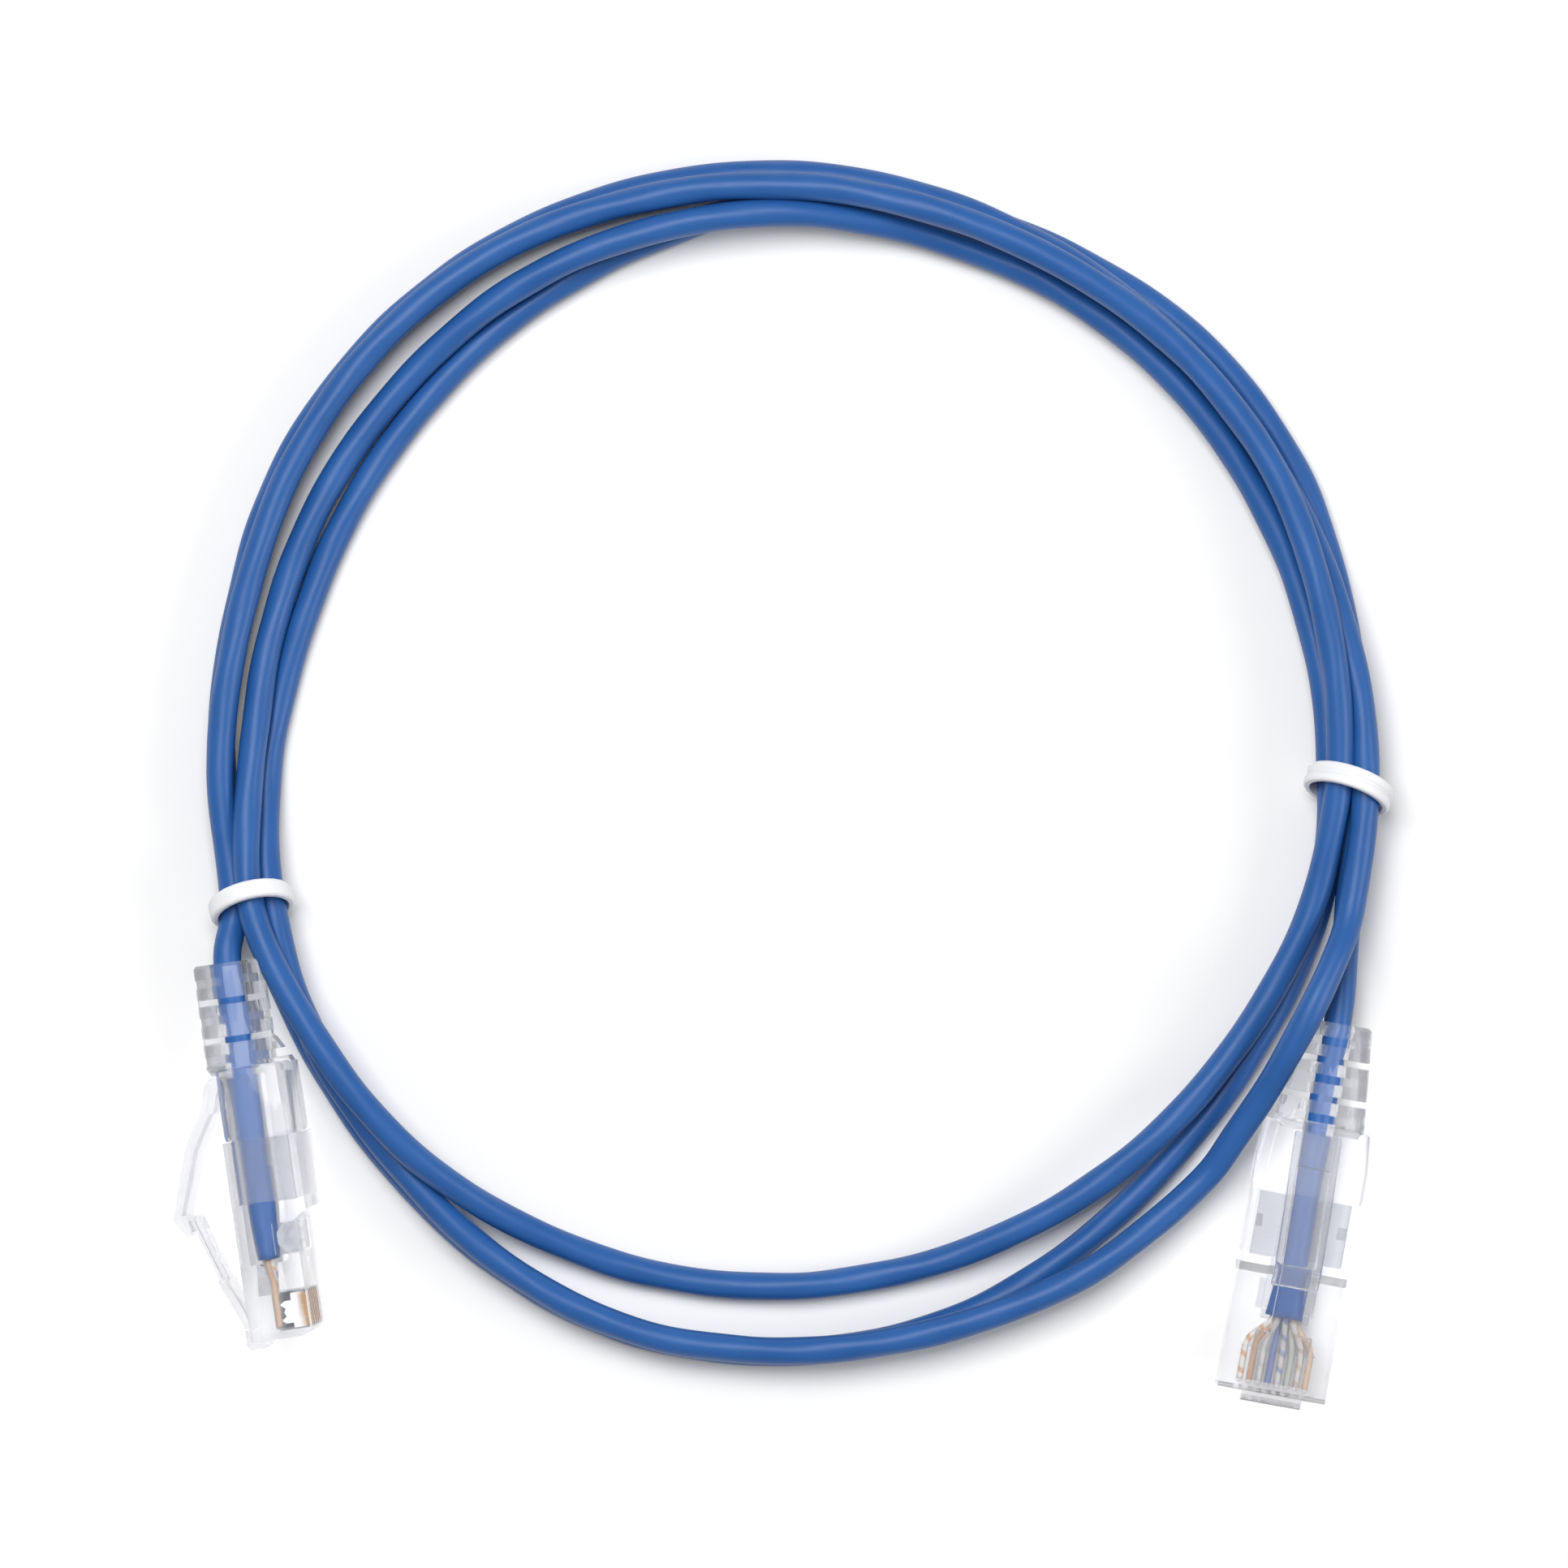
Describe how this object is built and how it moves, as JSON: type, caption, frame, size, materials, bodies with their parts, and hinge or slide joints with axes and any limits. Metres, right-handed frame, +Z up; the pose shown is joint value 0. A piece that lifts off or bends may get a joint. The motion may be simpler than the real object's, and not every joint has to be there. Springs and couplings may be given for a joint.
{
  "type": "ethernet patch cable",
  "caption": "Round blue network patch cable, coiled and held by two white ties, with a clear latching modular plug and snagless boot at each end.",
  "frame": {"origin": "centre of the base of the bounding box, on the surface the coil lies on", "axes": "+Z up out of the surface, plugs' noses towards -Y"},
  "size_m": [0.1313, 0.1346, 0.0149],
  "materials": {
    "jacket_pvc": "satin blue PVC",
    "insulation_white_orange": "solid coloured insulation",
    "insulation_orange": "solid coloured insulation",
    "insulation_white_green": "solid coloured insulation",
    "insulation_blue": "solid coloured insulation",
    "insulation_white_blue": "solid coloured insulation",
    "insulation_green": "solid coloured insulation",
    "insulation_white_brown": "solid coloured insulation",
    "insulation_brown": "solid coloured insulation",
    "tie_nylon": "white, satin",
    "clear_polycarbonate": "clear moulded plastic, glossy",
    "contact_gold": "gold-plated blade"
  },
  "bodies": {
    "cord": {"cable_jacket": "jacket_pvc", "conductor_1_white_orange": "insulation_white_orange", "conductor_2_orange": "insulation_orange", "conductor_3_white_green": "insulation_white_green", "conductor_4_blue": "insulation_blue", "conductor_5_white_blue": "insulation_white_blue", "conductor_6_green": "insulation_green", "conductor_7_white_brown": "insulation_white_brown", "conductor_8_brown": "insulation_brown", "cable_tie_a": "tie_nylon", "cable_tie_b": "tie_nylon", "plug_housing_a": "clear_polycarbonate", "strain_relief_bar_a": "clear_polycarbonate", "boot_a": "clear_polycarbonate", "contact_a_1": "contact_gold", "contact_a_2": "contact_gold", "contact_a_3": "contact_gold", "contact_a_4": "contact_gold", "contact_a_5": "contact_gold", "contact_a_6": "contact_gold", "contact_a_7": "contact_gold", "contact_a_8": "contact_gold", "plug_housing_b": "clear_polycarbonate", "strain_relief_bar_b": "clear_polycarbonate", "boot_b": "clear_polycarbonate", "contact_b_1": "contact_gold", "contact_b_2": "contact_gold", "contact_b_3": "contact_gold", "contact_b_4": "contact_gold", "contact_b_5": "contact_gold", "contact_b_6": "contact_gold", "contact_b_7": "contact_gold", "contact_b_8": "contact_gold"},
    "plug_latch_a": {"plug_latch_a": "clear_polycarbonate"},
    "boot_arm_a": {"boot_arm_a": "clear_polycarbonate"},
    "plug_latch_b": {"plug_latch_b": "clear_polycarbonate"},
    "boot_arm_b": {"boot_arm_b": "clear_polycarbonate"}
  },
  "joints": [
    {"name": "arm_press_a", "type": "hinge", "parent": "cord", "child": "boot_arm_a", "pos_m": [-0.06081, -0.03184, 0.00614], "axis": [-0.0949, -0.0137, 0.9954], "range_deg": [0, 9.6], "stiffness_Nm_per_rad": 0.005},
    {"name": "latch_press_a", "type": "hinge", "parent": "cord", "child": "plug_latch_a", "pos_m": [-0.05722, -0.0585, 0.00611], "axis": [0.0949, 0.0137, -0.9954], "range_deg": [0, 12], "stiffness_Nm_per_rad": 0.005},
    {"name": "arm_press_b", "type": "hinge", "parent": "cord", "child": "boot_arm_b", "pos_m": [0.05739, -0.03795, 0.00821], "axis": [0.9839, -0.1788, 0], "range_deg": [0, 9.6], "stiffness_Nm_per_rad": 0.005},
    {"name": "latch_press_b", "type": "hinge", "parent": "cord", "child": "plug_latch_b", "pos_m": [0.05258, -0.06442, 0.00846], "axis": [-0.9839, 0.1788, 0], "range_deg": [0, 12], "stiffness_Nm_per_rad": 0.005}
  ],
  "couplings": [
    {"joint": "latch_press_a", "follows": "arm_press_a", "ratio": 1.25},
    {"joint": "latch_press_b", "follows": "arm_press_b", "ratio": 1.25}
  ]
}
